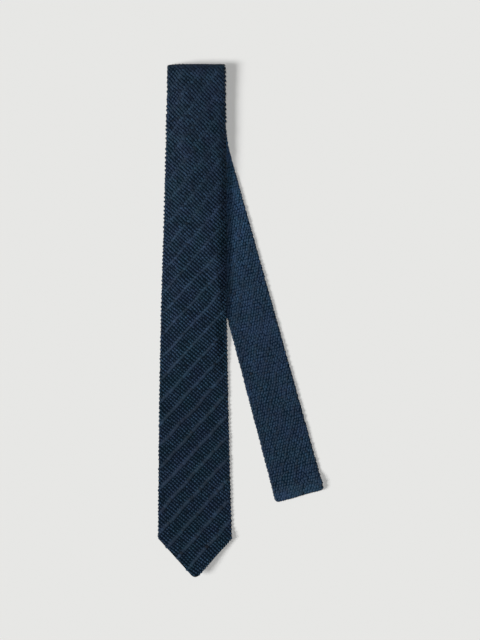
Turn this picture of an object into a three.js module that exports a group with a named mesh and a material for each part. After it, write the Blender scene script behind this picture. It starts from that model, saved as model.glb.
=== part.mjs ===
// A silk knit necktie, folded in four and lying flat, its point towards -Y and its tail aside at +X.
// Millimetres, +Z up, the surface it lies on at z = 0. From the top down the layers are the blade, the
// tuck (the blade run back behind itself), the return of the neck band, and the tail on the surface.

import * as THREE from "three";

// The broad end
const BLADE_LENGTH = 482; // from the top fold to the tip
const BLADE_WIDTH = 70; // across its shoulders
const FOLD_WIDTH = 54.2; // where it turns over the top fold
const POINT_ANGLE = 84.5; // degrees, between the two lower edges
const TIP_RADIUS = 5.8;
const TIP_LIFT = 5.4; // how far the tip curls up off the surface
const TIP_CURL = 1.3; // 1 for a straight rise from the shoulders to the tip, more for a later one

// The neck and the narrow end
const NECK_WIDTH = 40.4;
const TUCK_LENGTH = 271; // from the top fold down to the hidden loop of the neck band
const TAIL_LENGTH = 418; // from the top fold to the square end, along its middle
const TAIL_WIDTH = 47; // across the square end
const TAIL_CORNER = 3.8; // radius of the square end's corners
const TAIL_ASIDE = 6.3; // its middle at the fold, right of the blade's middle
const TAIL_ANGLE = 15.2; // degrees, from straight down
const TAIL_BEND_DOWN = 69.6; // below the fold, where its two straight stretches would cross
const TAIL_BEND_RADIUS = 200;

// The cloth
const CLOTH = 2.6; // one layer of the flattened knit tube
const CLOTH_EDGE = 2; // how far in its rounded edge reaches
const HIDDEN_EDGE = 5.5; // the same on the two layers inside the pile, which lie slack
const LAYER_GAP = 0.32; // between two layers that lie on each other
const BLADE_SLACK = 0.3; // extra room under the blade, which bridges the edges of the layers below it
const CROWN = 1.7; // how much more room the blade leaves along its middle, where it arches over the pile
const TURN_ROOM = 0.5; // extra room between two layers where one turns into the other
const TURN_RUN = 30; // how far from a turn that room reaches
const SIDE_DRAPE = 12.5; // sideways, in which a layer comes down beside the layer under it
const DRAPE_INSET = 0.6; // how far inside the rounding of that layer's edge it starts
const END_DRAPE = 42; // the same lengthways, past the hidden loop
const FOLD_SETBACK = 1; // how far the lower fold lies behind the upper one

// What is turned under
const FLAP = 1.9; // thickness of the turned corners and of the hem
const FLAP_INSET = 1.2; // inside the edge of the cloth that covers them
const FLAP_MEETING = 0.6; // between the two corners on the blade's middle line
const TAIL_HEM = 8; // depth of the hem

// Where one piece is joined to the next, hidden between the layers
const NECK_JOIN_UP = 45; // above the loop, on the tuck
const TAIL_JOIN_DOWN = 60; // below the fold, on the return
const JOIN_GAP = 0.3;

// How finely the surfaces are divided
const ROW_STEP = 16; // lengthways
const COLUMNS = 16; // across, between the rounded edges
const FLAP_COLUMNS = 4;
const TURN_STEPS = 6;
const ABREAST_STEPS = 12; // to find the tail's place nearest to another
const EDGE_SHARES = [0, 0.1, 0.45]; // of the rounded edge, from outside in
const TIP_SHARES = [0, 0.06, 0.3, 0.7]; // of the rounded tip
const SAME_POINT = 1e-4; // points this near each other are one

// How the blade's middle sways: even shares of its length, and shares of its width to the right
const BLADE_SWAY = [
  { down: 0, aside: 0.003 },
  { down: 0.25, aside: -0.007 },
  { down: 0.5, aside: -0.031 },
  { down: 0.75, aside: -0.029 },
  { down: 1, aside: -0.011 },
];

const COLOURS = { front: 0x1d2a36, tail: 0x22323f, turned: 0x1b2633 };
const SILK_KNIT = { roughness: 0.62, metalness: 0 };

const HALF_POINT = THREE.MathUtils.degToRad(POINT_ANGLE / 2);
const TAIL_TURN = THREE.MathUtils.degToRad(TAIL_ANGLE);
const PITCH = CLOTH + LAYER_GAP;
const TURN_REACH = (PITCH + BLADE_SLACK + TURN_ROOM + CLOTH) / 2; // from a turn's axis to its outside
const LOOP_DOWN = TUCK_LENGTH - TURN_REACH;
const LOWER_FOLD_DOWN = TURN_REACH + FOLD_SETBACK;

const smooth = (share) => THREE.MathUtils.smoothstep(share, 0, 1);

const evenly = (from, to, count) =>
  Array.from({ length: count + 1 }, (_, i) => from + ((to - from) * i) / count);
const spaced = (from, to, step) => evenly(from, to, Math.max(1, Math.ceil(Math.abs(to - from) / step)));

// The rounded point

const TANGENT_UP = TIP_RADIUS * (1 - Math.sin(HALF_POINT)); // where the tip's arc meets the lower edges
const TANGENT_HALF = TIP_RADIUS * Math.cos(HALF_POINT);
const POINT_LENGTH = TANGENT_UP + (BLADE_WIDTH / 2 - TANGENT_HALF) / Math.tan(HALF_POINT);
const SHOULDERS_DOWN = BLADE_LENGTH - POINT_LENGTH;

function pointHalfWidth(up) {
  return up < TANGENT_UP
    ? Math.sqrt(Math.max(0, TIP_RADIUS ** 2 - (TIP_RADIUS - up) ** 2))
    : TANGENT_HALF + (up - TANGENT_UP) * Math.tan(HALF_POINT);
}

// How much of a sideways distance to the outline is distance square to it
function pointSlant(up) {
  return up < TANGENT_UP ? Math.sqrt(Math.max(0, 1 - (1 - up / TIP_RADIUS) ** 2)) : Math.cos(HALF_POINT);
}

// The courses of the four layers. at(down) gives the middle of a layer in the plan, with down measured
// along it from the top fold, its heading (the angle turned from straight down) and its half width.

const sway = new THREE.SplineCurve(BLADE_SWAY.map(({ down, aside }) => new THREE.Vector2(down, aside)));

const blade = {
  edge: CLOTH_EDGE,
  at(down) {
    const wide = THREE.MathUtils.lerp(FOLD_WIDTH, BLADE_WIDTH, Math.min(1, down / SHOULDERS_DOWN)) / 2;
    const up = BLADE_LENGTH - down;
    return {
      x: sway.getPoint(down / BLADE_LENGTH).y * BLADE_WIDTH,
      y: -down,
      heading: 0,
      half: down > SHOULDERS_DOWN ? pointHalfWidth(up) : wide,
      slant: down > SHOULDERS_DOWN ? pointSlant(up) : 1,
      toEnd: Infinity,
    };
  },
};

const tuck = {
  edge: HIDDEN_EDGE,
  start: TURN_REACH,
  end: LOOP_DOWN,
  at(down) {
    const share = (down - this.start) / (this.end - this.start);
    const half = THREE.MathUtils.lerp(FOLD_WIDTH, NECK_WIDTH, share) / 2;
    return { x: 0, y: -down, heading: 0, half, slant: 1, toEnd: Infinity };
  },
};

const back = {
  edge: HIDDEN_EDGE,
  start: LOWER_FOLD_DOWN,
  end: LOOP_DOWN,
  at(down) {
    const share = (down - this.start) / (this.end - this.start);
    const x = TAIL_ASIDE * (1 - smooth(share));
    return { x, y: -down, heading: 0, half: NECK_WIDTH / 2, slant: 1, toEnd: Infinity };
  },
};

const BEND_HALF = TAIL_BEND_RADIUS * Math.tan(TAIL_TURN / 2);
const BEND_START = TAIL_BEND_DOWN - BEND_HALF;
const BEND_END = BEND_START + TAIL_BEND_RADIUS * TAIL_TURN;

const tail = {
  edge: CLOTH_EDGE,
  start: LOWER_FOLD_DOWN,
  end: TAIL_LENGTH,
  middle(down) {
    const turned = THREE.MathUtils.clamp((down - BEND_START) / TAIL_BEND_RADIUS, 0, TAIL_TURN);
    const past = Math.max(0, down - BEND_END);
    return {
      x: TAIL_ASIDE + TAIL_BEND_RADIUS * (1 - Math.cos(turned)) + past * Math.sin(turned),
      y: -Math.min(down, BEND_START) - TAIL_BEND_RADIUS * Math.sin(turned) - past * Math.cos(turned),
      heading: turned,
    };
  },
  at(down) {
    const share = (down - this.start) / (this.end - this.start);
    const toEnd = TAIL_LENGTH - down;
    const corner = Math.max(0, TAIL_CORNER - toEnd);
    const rounding = TAIL_CORNER - Math.sqrt(Math.max(0, TAIL_CORNER ** 2 - corner ** 2));
    const half = THREE.MathUtils.lerp(NECK_WIDTH, TAIL_WIDTH, share) / 2 - rounding;
    return { ...this.middle(down), half, slant: 1, toEnd };
  },
};

// How a layer lifts what lies over it at a place in the plan: 1 above it, 0 well beside it

function sideCover(course, outside) {
  const inside = course.edge + DRAPE_INSET;
  return 1 - THREE.MathUtils.smootherstep(outside, -inside, SIDE_DRAPE);
}

function straightCover(course, x, y) {
  const down = THREE.MathUtils.clamp(-y, course.start, course.end);
  const here = course.at(down);
  const past = Math.max(0, -y - course.end);
  return sideCover(course, Math.abs(x - here.x) - here.half) * (1 - smooth(past / END_DRAPE));
}

// The tail's nearest place to (x, y) is found by stepping along its heading until it is abreast.
function tailCover(x, y) {
  let down = THREE.MathUtils.clamp(-y, tail.start, tail.end);
  for (let i = 0; i < ABREAST_STEPS; i++) {
    const m = tail.middle(down);
    const ahead = (x - m.x) * Math.sin(m.heading) - (y - m.y) * Math.cos(m.heading);
    down = THREE.MathUtils.clamp(down + ahead, tail.start, tail.end - TAIL_CORNER);
  }
  const here = tail.at(down);
  const across = (x - here.x) * Math.cos(here.heading) + (y - here.y) * Math.sin(here.heading);
  return sideCover(tail, Math.abs(across) - here.half);
}

const nearTop = (y) => 1 - smooth(Math.max(0, -y - TURN_REACH) / TURN_RUN);
const nearLoop = (y) => 1 - smooth(Math.max(0, y + LOOP_DOWN) / TURN_RUN);

const overTail = (x, y) => tailCover(x, y) * (PITCH + TURN_ROOM * nearTop(y));
const overBack = (x, y) => overTail(x, y) + straightCover(back, x, y) * (PITCH + TURN_ROOM * nearLoop(y));
const overTuck = (x, y) =>
  overBack(x, y) + straightCover(tuck, x, y) * (PITCH + BLADE_SLACK + TURN_ROOM * nearTop(y));

// The blade's arch, which fades out towards the top fold and past the loop
function crown(x, y, down) {
  const here = blade.at(down);
  const across = Math.min(1, Math.abs(x - here.x) / Math.max(here.half, FOLD_WIDTH / 2));
  const along = (1 - nearTop(y)) * (1 - smooth((down - LOOP_DOWN + END_DRAPE) / END_DRAPE));
  return CROWN * (1 - across ** 2) * along;
}

// Height of each layer's underside
const turnedUnder = (pastEdge) => (FLAP + LAYER_GAP) * (1 - smooth(pastEdge / SIDE_DRAPE));
const tipLift = (down) => TIP_LIFT * Math.max(0, (down - SHOULDERS_DOWN) / POINT_LENGTH) ** TIP_CURL;

blade.under = (x, y, down) =>
  overTuck(x, y) + crown(x, y, down) + turnedUnder(SHOULDERS_DOWN - down) + tipLift(down);
tuck.under = (x, y) => overBack(x, y);
back.under = (x, y) => overTail(x, y);
tail.under = (x, y, down) => turnedUnder(TAIL_LENGTH - TAIL_HEM - down);

// Rows of points across a layer. Each row has its face side and its back side, from left to right.

function offsets(half, reach) {
  const edge = Math.min(reach, half / 2);
  const outer = EDGE_SHARES.map((share) => half - share * edge);
  const inner = evenly(half - edge, edge - half, COLUMNS);
  return [...outer, ...inner, ...outer.map((v) => -v).reverse()].reverse();
}

function roundness(distance, reach) {
  return Math.sqrt(1 - (1 - THREE.MathUtils.clamp(distance / reach, 0, 1)) ** 2);
}

function acrossRow(course, down) {
  const here = course.at(down);
  return offsets(here.half, course.edge).map((offset) => {
    const x = here.x + offset * Math.cos(here.heading);
    const y = here.y + offset * Math.sin(here.heading);
    const toSide = (here.half - Math.abs(offset)) * here.slant;
    const thick = CLOTH * roundness(toSide, course.edge) * roundness(here.toEnd, course.edge);
    return { x, y, z: course.under(x, y, down) + CLOTH / 2, reach: thick / 2 };
  });
}

// A row of a layer that lies flat, face up or face down
function flatRow(course, down, faceUp) {
  const points = acrossRow(course, down);
  const side = (sign) => points.map((p) => new THREE.Vector3(p.x, p.y, p.z + sign * p.reach));
  return faceUp ? { face: side(1), back: side(-1) } : { face: side(-1), back: side(1) };
}

// The rows of a turn between an upper and a lower layer, from top to bottom. It opens away from
// towards, which is +1 at the top folds and -1 at the loop.
function turnRows(upper, lower, down, towards, faceOutside) {
  const high = acrossRow(upper, down);
  const low = acrossRow(lower, down);
  return evenly(0, Math.PI, TURN_STEPS)
    .slice(1, -1)
    .map((angle) => {
      const side = (sign) =>
        high.map((h, i) => {
          const l = low[i];
          const reach = THREE.MathUtils.lerp(h.reach, l.reach, angle / Math.PI);
          const radius = (h.z - l.z) / 2 + sign * reach;
          return new THREE.Vector3(
            THREE.MathUtils.lerp(h.x, l.x, angle / Math.PI),
            h.y + towards * radius * Math.sin(angle),
            (h.z + l.z) / 2 + radius * Math.cos(angle),
          );
        });
      return faceOutside ? { face: side(1), back: side(-1) } : { face: side(-1), back: side(1) };
    });
}

// A closed solid through rows: both sides, the two edges and the two ends

function solidThrough(rows) {
  const across = rows[0].face.length;
  const ring = 2 * across;
  const positions = [];
  const known = new Map();
  const numbers = rows.map((row) =>
    [...row.face, ...[...row.back].reverse()].map((p) => {
      const key = [p.x, p.y, p.z].map((v) => Math.round(v / SAME_POINT)).join();
      if (!known.has(key)) {
        known.set(key, positions.length / 3);
        positions.push(p.x, p.y, p.z);
      }
      return known.get(key);
    }),
  );
  const index = [];
  const triangle = (a, b, c) => {
    if (a !== b && b !== c && c !== a) index.push(a, b, c);
  };
  for (let r = 0; r + 1 < rows.length; r++)
    for (let i = 0; i < ring; i++) {
      const j = (i + 1) % ring;
      triangle(numbers[r][i], numbers[r][j], numbers[r + 1][j]);
      triangle(numbers[r][i], numbers[r + 1][j], numbers[r + 1][i]);
    }
  for (const [row, turned] of [
    [numbers[0], true],
    [numbers[rows.length - 1], false],
  ])
    for (let i = 0; i + 1 < across; i++) {
      const corners = [row[i], row[i + 1], row[ring - 2 - i], row[ring - 1 - i]];
      if (turned) corners.reverse();
      triangle(corners[0], corners[1], corners[2]);
      triangle(corners[0], corners[2], corners[3]);
    }
  const geometry = new THREE.BufferGeometry();
  geometry.setAttribute("position", new THREE.Float32BufferAttribute(positions, 3));
  geometry.setIndex(signedVolume(positions, index) < 0 ? index.reverse() : index);
  geometry.computeVertexNormals();
  return geometry;
}

function signedVolume(positions, index) {
  const [a, b, c] = [new THREE.Vector3(), new THREE.Vector3(), new THREE.Vector3()];
  let sum = 0;
  for (let i = 0; i < index.length; i += 3) {
    a.fromArray(positions, 3 * index[i]);
    b.fromArray(positions, 3 * index[i + 1]);
    c.fromArray(positions, 3 * index[i + 2]);
    sum += a.dot(b.cross(c)) / 6;
  }
  return sum;
}

const layerRows = (course, from, to, faceUp) =>
  spaced(from, to, ROW_STEP).map((down) => flatRow(course, down, faceUp));

// The broad end, from its tip up to the fold, over it, and down behind to the join

function frontBlade() {
  const tipRows = [
    ...TIP_SHARES.map((share) => BLADE_LENGTH - share * TANGENT_UP),
    ...spaced(BLADE_LENGTH - TANGENT_UP, SHOULDERS_DOWN, ROW_STEP / 2).slice(0, -1),
  ];
  return solidThrough([
    ...tipRows.map((down) => flatRow(blade, down, true)),
    ...layerRows(blade, SHOULDERS_DOWN, TUCK_LENGTH, true).slice(0, -1),
    ...layerRows(blade, TUCK_LENGTH, TURN_REACH, true),
    ...turnRows(blade, tuck, TURN_REACH, 1, true),
    ...layerRows(tuck, TURN_REACH, LOOP_DOWN - NECK_JOIN_UP, false),
  ]);
}

// The narrow middle: down the tuck, round the loop and up the return

function neckBand() {
  return solidThrough([
    ...layerRows(tuck, LOOP_DOWN - NECK_JOIN_UP + JOIN_GAP, LOOP_DOWN, false),
    ...turnRows(tuck, back, LOOP_DOWN, -1, false),
    ...layerRows(back, LOOP_DOWN, TAIL_JOIN_DOWN + JOIN_GAP, true),
  ]);
}

// The narrow end: up the return, over the lower fold and down to the square end

function tailBlade() {
  const hemStart = TAIL_LENGTH - TAIL_HEM;
  const endRows = [
    ...spaced(hemStart, TAIL_LENGTH - CLOTH_EDGE, TAIL_CORNER / 2),
    ...[...EDGE_SHARES].reverse().map((share) => TAIL_LENGTH - share * CLOTH_EDGE),
  ];
  return solidThrough([
    ...layerRows(back, TAIL_JOIN_DOWN, LOWER_FOLD_DOWN, true),
    ...turnRows(back, tail, LOWER_FOLD_DOWN, 1, true),
    ...layerRows(tail, LOWER_FOLD_DOWN, hemStart - SIDE_DRAPE, false).slice(0, -1),
    ...spaced(hemStart - SIDE_DRAPE, hemStart, SIDE_DRAPE / 4)
      .slice(0, -1)
      .map((down) => flatRow(tail, down, false)),
    ...endRows.map((down) => flatRow(tail, down, false)),
  ]);
}

// What is turned under: plain plates that lie against the cloth's underside

function plate(downs, rowAt) {
  return solidThrough(
    downs.map((down) => {
      const points = rowAt(down);
      const side = (up) => points.map((p) => new THREE.Vector3(p.x, p.y, p.z + up));
      return { face: side(0), back: side(FLAP) };
    }),
  );
}

// One lower corner of the blade, turned under; side is -1 for the left and 1 for the right
function pointFlap(side) {
  const inset = FLAP_INSET / Math.cos(HALF_POINT);
  const lowest = BLADE_LENGTH - TANGENT_UP - (2 * inset) / Math.tan(HALF_POINT);
  return plate(spaced(lowest, SHOULDERS_DOWN, ROW_STEP / 2), (down) => {
    const here = blade.at(down);
    const outer = here.half - inset;
    return evenly(FLAP_MEETING / 2, outer, FLAP_COLUMNS).map((offset) => ({
      x: here.x + side * offset,
      y: here.y,
      z: tipLift(down),
    }));
  });
}

function tailHem() {
  return plate(spaced(TAIL_LENGTH - TAIL_HEM, TAIL_LENGTH - FLAP_INSET, TAIL_HEM / 2), (down) => {
    const here = tail.at(down);
    const half = here.half - FLAP_INSET;
    return evenly(-half, half, 2 * FLAP_COLUMNS).map((offset) => ({
      x: here.x + offset * Math.cos(here.heading),
      y: here.y + offset * Math.sin(here.heading),
      z: 0,
    }));
  });
}

function named(name, geometry, color) {
  const mesh = new THREE.Mesh(geometry, new THREE.MeshStandardMaterial({ color, ...SILK_KNIT }));
  mesh.name = name;
  return mesh;
}

const tie = new THREE.Group();
tie.add(
  named("front_blade", frontBlade(), COLOURS.front),
  named("point_flap_left", pointFlap(-1), COLOURS.turned),
  named("point_flap_right", pointFlap(1), COLOURS.turned),
  named("neck_band", neckBand(), COLOURS.front),
  named("tail_blade", tailBlade(), COLOURS.tail),
  named("tail_hem", tailHem(), COLOURS.turned),
);

// The origin is on the surface, under the middle of the folded tie.
const middle = new THREE.Box3().setFromObject(tie).getCenter(new THREE.Vector3());
tie.position.set(-middle.x, -middle.y, 0);

export default tie;
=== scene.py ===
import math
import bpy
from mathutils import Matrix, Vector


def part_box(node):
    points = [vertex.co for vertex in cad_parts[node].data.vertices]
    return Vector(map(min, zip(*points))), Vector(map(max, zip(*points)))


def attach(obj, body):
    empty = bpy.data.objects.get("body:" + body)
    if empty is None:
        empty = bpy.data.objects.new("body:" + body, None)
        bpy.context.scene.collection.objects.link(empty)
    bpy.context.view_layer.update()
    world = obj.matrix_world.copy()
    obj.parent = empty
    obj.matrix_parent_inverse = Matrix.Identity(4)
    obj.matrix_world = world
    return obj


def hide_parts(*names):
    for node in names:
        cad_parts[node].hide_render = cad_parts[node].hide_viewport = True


bl_info = {
    "name": "Silk Knit Necktie",
    "version": (1, 0, 0),
    "blender": (4, 5, 0),
    "location": "View3D > Sidebar > Necktie",
    "description": "A slim silk knit tie, folded in four and lying flat, with every stitch laid on it",
    "category": "Add Mesh",
}

from collections import namedtuple

import bmesh
import bpy
import numpy as np
from mathutils import Matrix, Vector

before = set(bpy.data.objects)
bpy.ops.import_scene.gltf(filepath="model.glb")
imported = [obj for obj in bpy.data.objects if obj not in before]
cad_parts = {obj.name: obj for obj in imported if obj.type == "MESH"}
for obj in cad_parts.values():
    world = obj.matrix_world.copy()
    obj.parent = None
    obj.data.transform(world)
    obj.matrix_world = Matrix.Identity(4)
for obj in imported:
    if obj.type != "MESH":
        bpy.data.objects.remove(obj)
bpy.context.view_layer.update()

# The folded tie in metres, the same sizes as in the solids
BLADE_LENGTH = 0.482
BLADE_WIDTH = 0.070
FOLD_WIDTH = 0.0542
HALF_POINT = math.radians(84.5) / 2
TIP_RADIUS = 0.0058
TIP_LIFT = 0.0054
TIP_CURL = 1.3
NECK_WIDTH = 0.0404
TUCK_LENGTH = 0.271
TAIL_LENGTH = 0.418
TAIL_WIDTH = 0.047
TAIL_CORNER = 0.0038
TAIL_ASIDE = 0.0063
TAIL_TURN = math.radians(15.2)
TAIL_BEND_DOWN = 0.0696
TAIL_BEND_RADIUS = 0.2
TAIL_HEM = 0.008
CLOTH = 0.0026
CLOTH_EDGE = 0.002
HIDDEN_EDGE = 0.0055
LAYER_GAP = 0.00032
BLADE_SLACK = 0.0003
CROWN = 0.0017
TURN_ROOM = 0.0005
TURN_RUN = 0.030
SIDE_DRAPE = 0.0125
DRAPE_INSET = 0.0006
END_DRAPE = 0.042
FOLD_SETBACK = 0.001
FLAP = 0.0019
FLAP_INSET = 0.0012
FLAP_MEETING = 0.0006
NECK_JOIN_UP = 0.045
TAIL_JOIN_DOWN = 0.060
JOIN_GAP = 0.0003
BLADE_SWAY = (0.003, -0.007, -0.031, -0.029, -0.011)  # at even shares of the blade, in shares of its width

PITCH = CLOTH + LAYER_GAP
TURN_REACH = (PITCH + BLADE_SLACK + TURN_ROOM + CLOTH) / 2
LOOP_DOWN = TUCK_LENGTH - TURN_REACH
LOWER_FOLD_DOWN = TURN_REACH + FOLD_SETBACK
TANGENT_UP = TIP_RADIUS * (1 - math.sin(HALF_POINT))
TANGENT_HALF = TIP_RADIUS * math.cos(HALF_POINT)
POINT_LENGTH = TANGENT_UP + (BLADE_WIDTH / 2 - TANGENT_HALF) / math.tan(HALF_POINT)
SHOULDERS_DOWN = BLADE_LENGTH - POINT_LENGTH
BEND_START = TAIL_BEND_DOWN - TAIL_BEND_RADIUS * math.tan(TAIL_TURN / 2)
BEND_END = BEND_START + TAIL_BEND_RADIUS * TAIL_TURN
FAR_OFF = 1.0  # further than any end
THINNEST = 1e-5  # the least half width
LEAST_SLANT = 0.05  # of the outline, for the width of its edge at the very tip
ABREAST_STEPS = 12  # of the search for the nearest place on the tail
FLAP_EDGE = 0.0008
FLAP_END = BLADE_LENGTH - TANGENT_UP - 2 * FLAP_INSET / math.cos(HALF_POINT) / math.tan(HALF_POINT)


# Where the layers lie. x is from the middle of the top fold and y up from it. A place along a layer
# is its middle, its heading (the angle turned from straight down), its half width, how much of a
# sideways distance to the outline is distance square to it, and how far it is to a rounded end.

Here = namedtuple("Here", "x y heading half slant to_end")


def smooth(share):
    share = np.clip(share, 0, 1)
    return share * share * (3 - 2 * share)


def smoother(share):
    share = np.clip(share, 0, 1)
    return share**3 * (share * (6 * share - 15) + 10)


def lerp(low, high, share):
    return low + (high - low) * share


def roundness(distance, reach):
    return np.sqrt(1 - (1 - np.clip(distance / reach, 0, 1)) ** 2)


def sway(share):
    """The blade's sway as a smooth curve through its table."""
    table = np.array(BLADE_SWAY)
    last = len(table) - 1
    at = np.clip(share, 0, 1) * last
    i = np.minimum(at.astype(int), last - 1)
    t = at - i
    before, a, b, after = (table[np.clip(i + k, 0, last)] for k in (-1, 0, 1, 2))
    start, end = (b - before) / 2, (after - a) / 2
    return ((2 * a - 2 * b + start + end) * t + (3 * b - 3 * a - 2 * start - end)) * t * t + start * t + a


def blade_at(down):
    up = np.maximum(BLADE_LENGTH - down, 0)
    wide = lerp(FOLD_WIDTH, BLADE_WIDTH, np.minimum(1, down / SHOULDERS_DOWN)) / 2
    from_middle = np.clip(1 - up / TIP_RADIUS, 0, 1)
    rounded = TIP_RADIUS * np.sqrt(1 - from_middle**2)
    straight = TANGENT_HALF + (up - TANGENT_UP) * math.tan(HALF_POINT)
    in_tip, in_point = up < TANGENT_UP, down > SHOULDERS_DOWN
    half = np.where(in_point, np.where(in_tip, rounded, straight), wide)
    slant = np.where(in_point, np.where(in_tip, np.sqrt(1 - from_middle**2), math.cos(HALF_POINT)), 1)
    nothing = np.zeros_like(down)
    return Here(sway(down / BLADE_LENGTH) * BLADE_WIDTH, -down, nothing, half, slant, nothing + FAR_OFF)


def tuck_at(down):
    share = (down - TURN_REACH) / (LOOP_DOWN - TURN_REACH)
    nothing = np.zeros_like(down)
    half = lerp(FOLD_WIDTH, NECK_WIDTH, share) / 2
    return Here(nothing, -down, nothing, half, nothing + 1, nothing + FAR_OFF)


def back_at(down):
    share = (down - LOWER_FOLD_DOWN) / (LOOP_DOWN - LOWER_FOLD_DOWN)
    nothing = np.zeros_like(down)
    x = TAIL_ASIDE * (1 - smooth(share))
    return Here(x, -down, nothing, nothing + NECK_WIDTH / 2, nothing + 1, nothing + FAR_OFF)


def tail_at(down):
    share = (down - LOWER_FOLD_DOWN) / (TAIL_LENGTH - LOWER_FOLD_DOWN)
    turned = np.clip((down - BEND_START) / TAIL_BEND_RADIUS, 0, TAIL_TURN)
    past = np.maximum(0, down - BEND_END)
    to_end = np.maximum(TAIL_LENGTH - down, 0)
    corner = np.clip(TAIL_CORNER - to_end, 0, TAIL_CORNER)
    rounding = TAIL_CORNER - np.sqrt(TAIL_CORNER**2 - corner**2)
    return Here(
        TAIL_ASIDE + TAIL_BEND_RADIUS * (1 - np.cos(turned)) + past * np.sin(turned),
        -np.minimum(down, BEND_START) - TAIL_BEND_RADIUS * np.sin(turned) - past * np.cos(turned),
        turned,
        lerp(NECK_WIDTH, TAIL_WIDTH, share) / 2 - rounding,
        np.ones_like(down),
        to_end,
    )


def side_cover(edge, outside):
    inside = edge + DRAPE_INSET
    return 1 - smoother((outside + inside) / (SIDE_DRAPE + inside))


def straight_cover(at, start, x, y):
    here = at(np.clip(-y, start, LOOP_DOWN))
    past = np.maximum(0, -y - LOOP_DOWN)
    return side_cover(HIDDEN_EDGE, np.abs(x - here.x) - here.half) * (1 - smooth(past / END_DRAPE))


def tail_cover(x, y):
    """The tail's nearest place is found by stepping along its heading until it is abreast."""
    down = np.clip(-y, LOWER_FOLD_DOWN, TAIL_LENGTH)
    for _ in range(ABREAST_STEPS):
        here = tail_at(down)
        ahead = (x - here.x) * np.sin(here.heading) - (y - here.y) * np.cos(here.heading)
        down = np.clip(down + ahead, LOWER_FOLD_DOWN, TAIL_LENGTH - TAIL_CORNER)
    here = tail_at(down)
    across = (x - here.x) * np.cos(here.heading) + (y - here.y) * np.sin(here.heading)
    return side_cover(CLOTH_EDGE, np.abs(across) - here.half)


def near_top(y):
    return 1 - smooth(np.maximum(0, -y - TURN_REACH) / TURN_RUN)


def over_tail(x, y):
    return tail_cover(x, y) * (PITCH + TURN_ROOM * near_top(y))


def over_back(x, y):
    near_loop = 1 - smooth(np.maximum(0, y + LOOP_DOWN) / TURN_RUN)
    return over_tail(x, y) + straight_cover(back_at, LOWER_FOLD_DOWN, x, y) * (PITCH + TURN_ROOM * near_loop)


def over_tuck(x, y):
    room = PITCH + BLADE_SLACK + TURN_ROOM * near_top(y)
    return over_back(x, y) + straight_cover(tuck_at, TURN_REACH, x, y) * room


def turned_under(past_edge):
    return (FLAP + LAYER_GAP) * (1 - smooth(past_edge / SIDE_DRAPE))


def tip_lift(down):
    return TIP_LIFT * np.maximum(0, (down - SHOULDERS_DOWN) / POINT_LENGTH) ** TIP_CURL


def crown(x, y, down):
    here = blade_at(down)
    across = np.minimum(1, np.abs(x - here.x) / np.maximum(here.half, FOLD_WIDTH / 2))
    along = (1 - near_top(y)) * (1 - smooth((down - LOOP_DOWN + END_DRAPE) / END_DRAPE))
    return CROWN * (1 - across**2) * along


def under_blade(x, y, down):
    return over_tuck(x, y) + crown(x, y, down) + turned_under(SHOULDERS_DOWN - down) + tip_lift(down)


def under_tuck(x, y, down):
    return over_back(x, y)


def under_back(x, y, down):
    return over_tail(x, y)


def under_tail(x, y, down):
    return turned_under(TAIL_LENGTH - TAIL_HEM - down)


def under_flap(x, y, down):
    return tip_lift(down)


def under_hem(x, y, down):
    return np.zeros_like(x)


def flap_at(side):
    """The course of one turned corner: -1 for the left one, 1 for the right one."""

    def at(down):
        here = blade_at(down)
        outer = here.half - FLAP_INSET / math.cos(HALF_POINT)
        middle = (outer + FLAP_MEETING / 2) / 2
        half = np.maximum((outer - FLAP_MEETING / 2) / 2, THINNEST)
        return here._replace(x=here.x + side * middle, half=half, slant=np.ones_like(down))

    return at


def hem_at(down):
    here = tail_at(down)
    return here._replace(half=here.half - FLAP_INSET, to_end=np.full_like(down, FAR_OFF))


# A layer has its places by the distance down from the top fold, the width of its round edge, the
# height of what lies under it, and its thickness.
Course = namedtuple("Course", "at edge under thick")
BLADE = Course(blade_at, CLOTH_EDGE, under_blade, CLOTH)
TUCK = Course(tuck_at, HIDDEN_EDGE, under_tuck, CLOTH)
BACK = Course(back_at, HIDDEN_EDGE, under_back, CLOTH)
TAIL = Course(tail_at, CLOTH_EDGE, under_tail, CLOTH)
FLAP_LEFT = Course(flap_at(-1), FLAP_EDGE, under_flap, FLAP)
FLAP_RIGHT = Course(flap_at(1), FLAP_EDGE, under_flap, FLAP)
HEM = Course(hem_at, FLAP_EDGE, under_hem, FLAP)


BLADE_SAMPLES = 400


def origin():
    """Where the fold's middle is in the frame, from the front blade's box."""
    down = np.linspace(TURN_REACH, SHOULDERS_DOWN, BLADE_SAMPLES)
    here = blade_at(down)
    low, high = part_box("front_blade")
    return np.array([low[0] - (here.x - here.half).min(), high[1], 0])


ORIGIN = origin()


# A place around a layer's section is (flat, turn): flat runs from -1 to 1 over its flat part, and
# turn from 0 to a quarter circle round its edge. side is 1 for its upper wall and -1 for its lower.

QUARTER = math.pi / 2
FLAT_PART = 0.72  # of the columns of a tube, the rest go round its edges
GRID_ROW = 0.003  # lengthways, of a tube's faces
FOLD_FULLNESS = 0.95  # how straight a fold runs from side to side, although its edges are thinner


def edge_zone(here, course):
    return np.minimum(course.edge / np.maximum(here.slant, LEAST_SLANT), here.half)


def section(here, course, place, sink):
    flat, turn = place
    zone = edge_zone(here, course)
    out = np.abs(flat) * (here.half - zone) + zone * np.sin(turn)
    reach = (course.thick / 2 - sink) * roundness((here.half - out) * here.slant, course.edge)
    return np.sign(flat) * np.maximum(out - sink * np.sin(turn), 0), reach


def edge_lap(course):
    """How far it is over the cloth round a quarter of an edge."""
    return QUARTER * math.hypot(course.edge, course.thick / 2) / math.sqrt(2)


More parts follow.
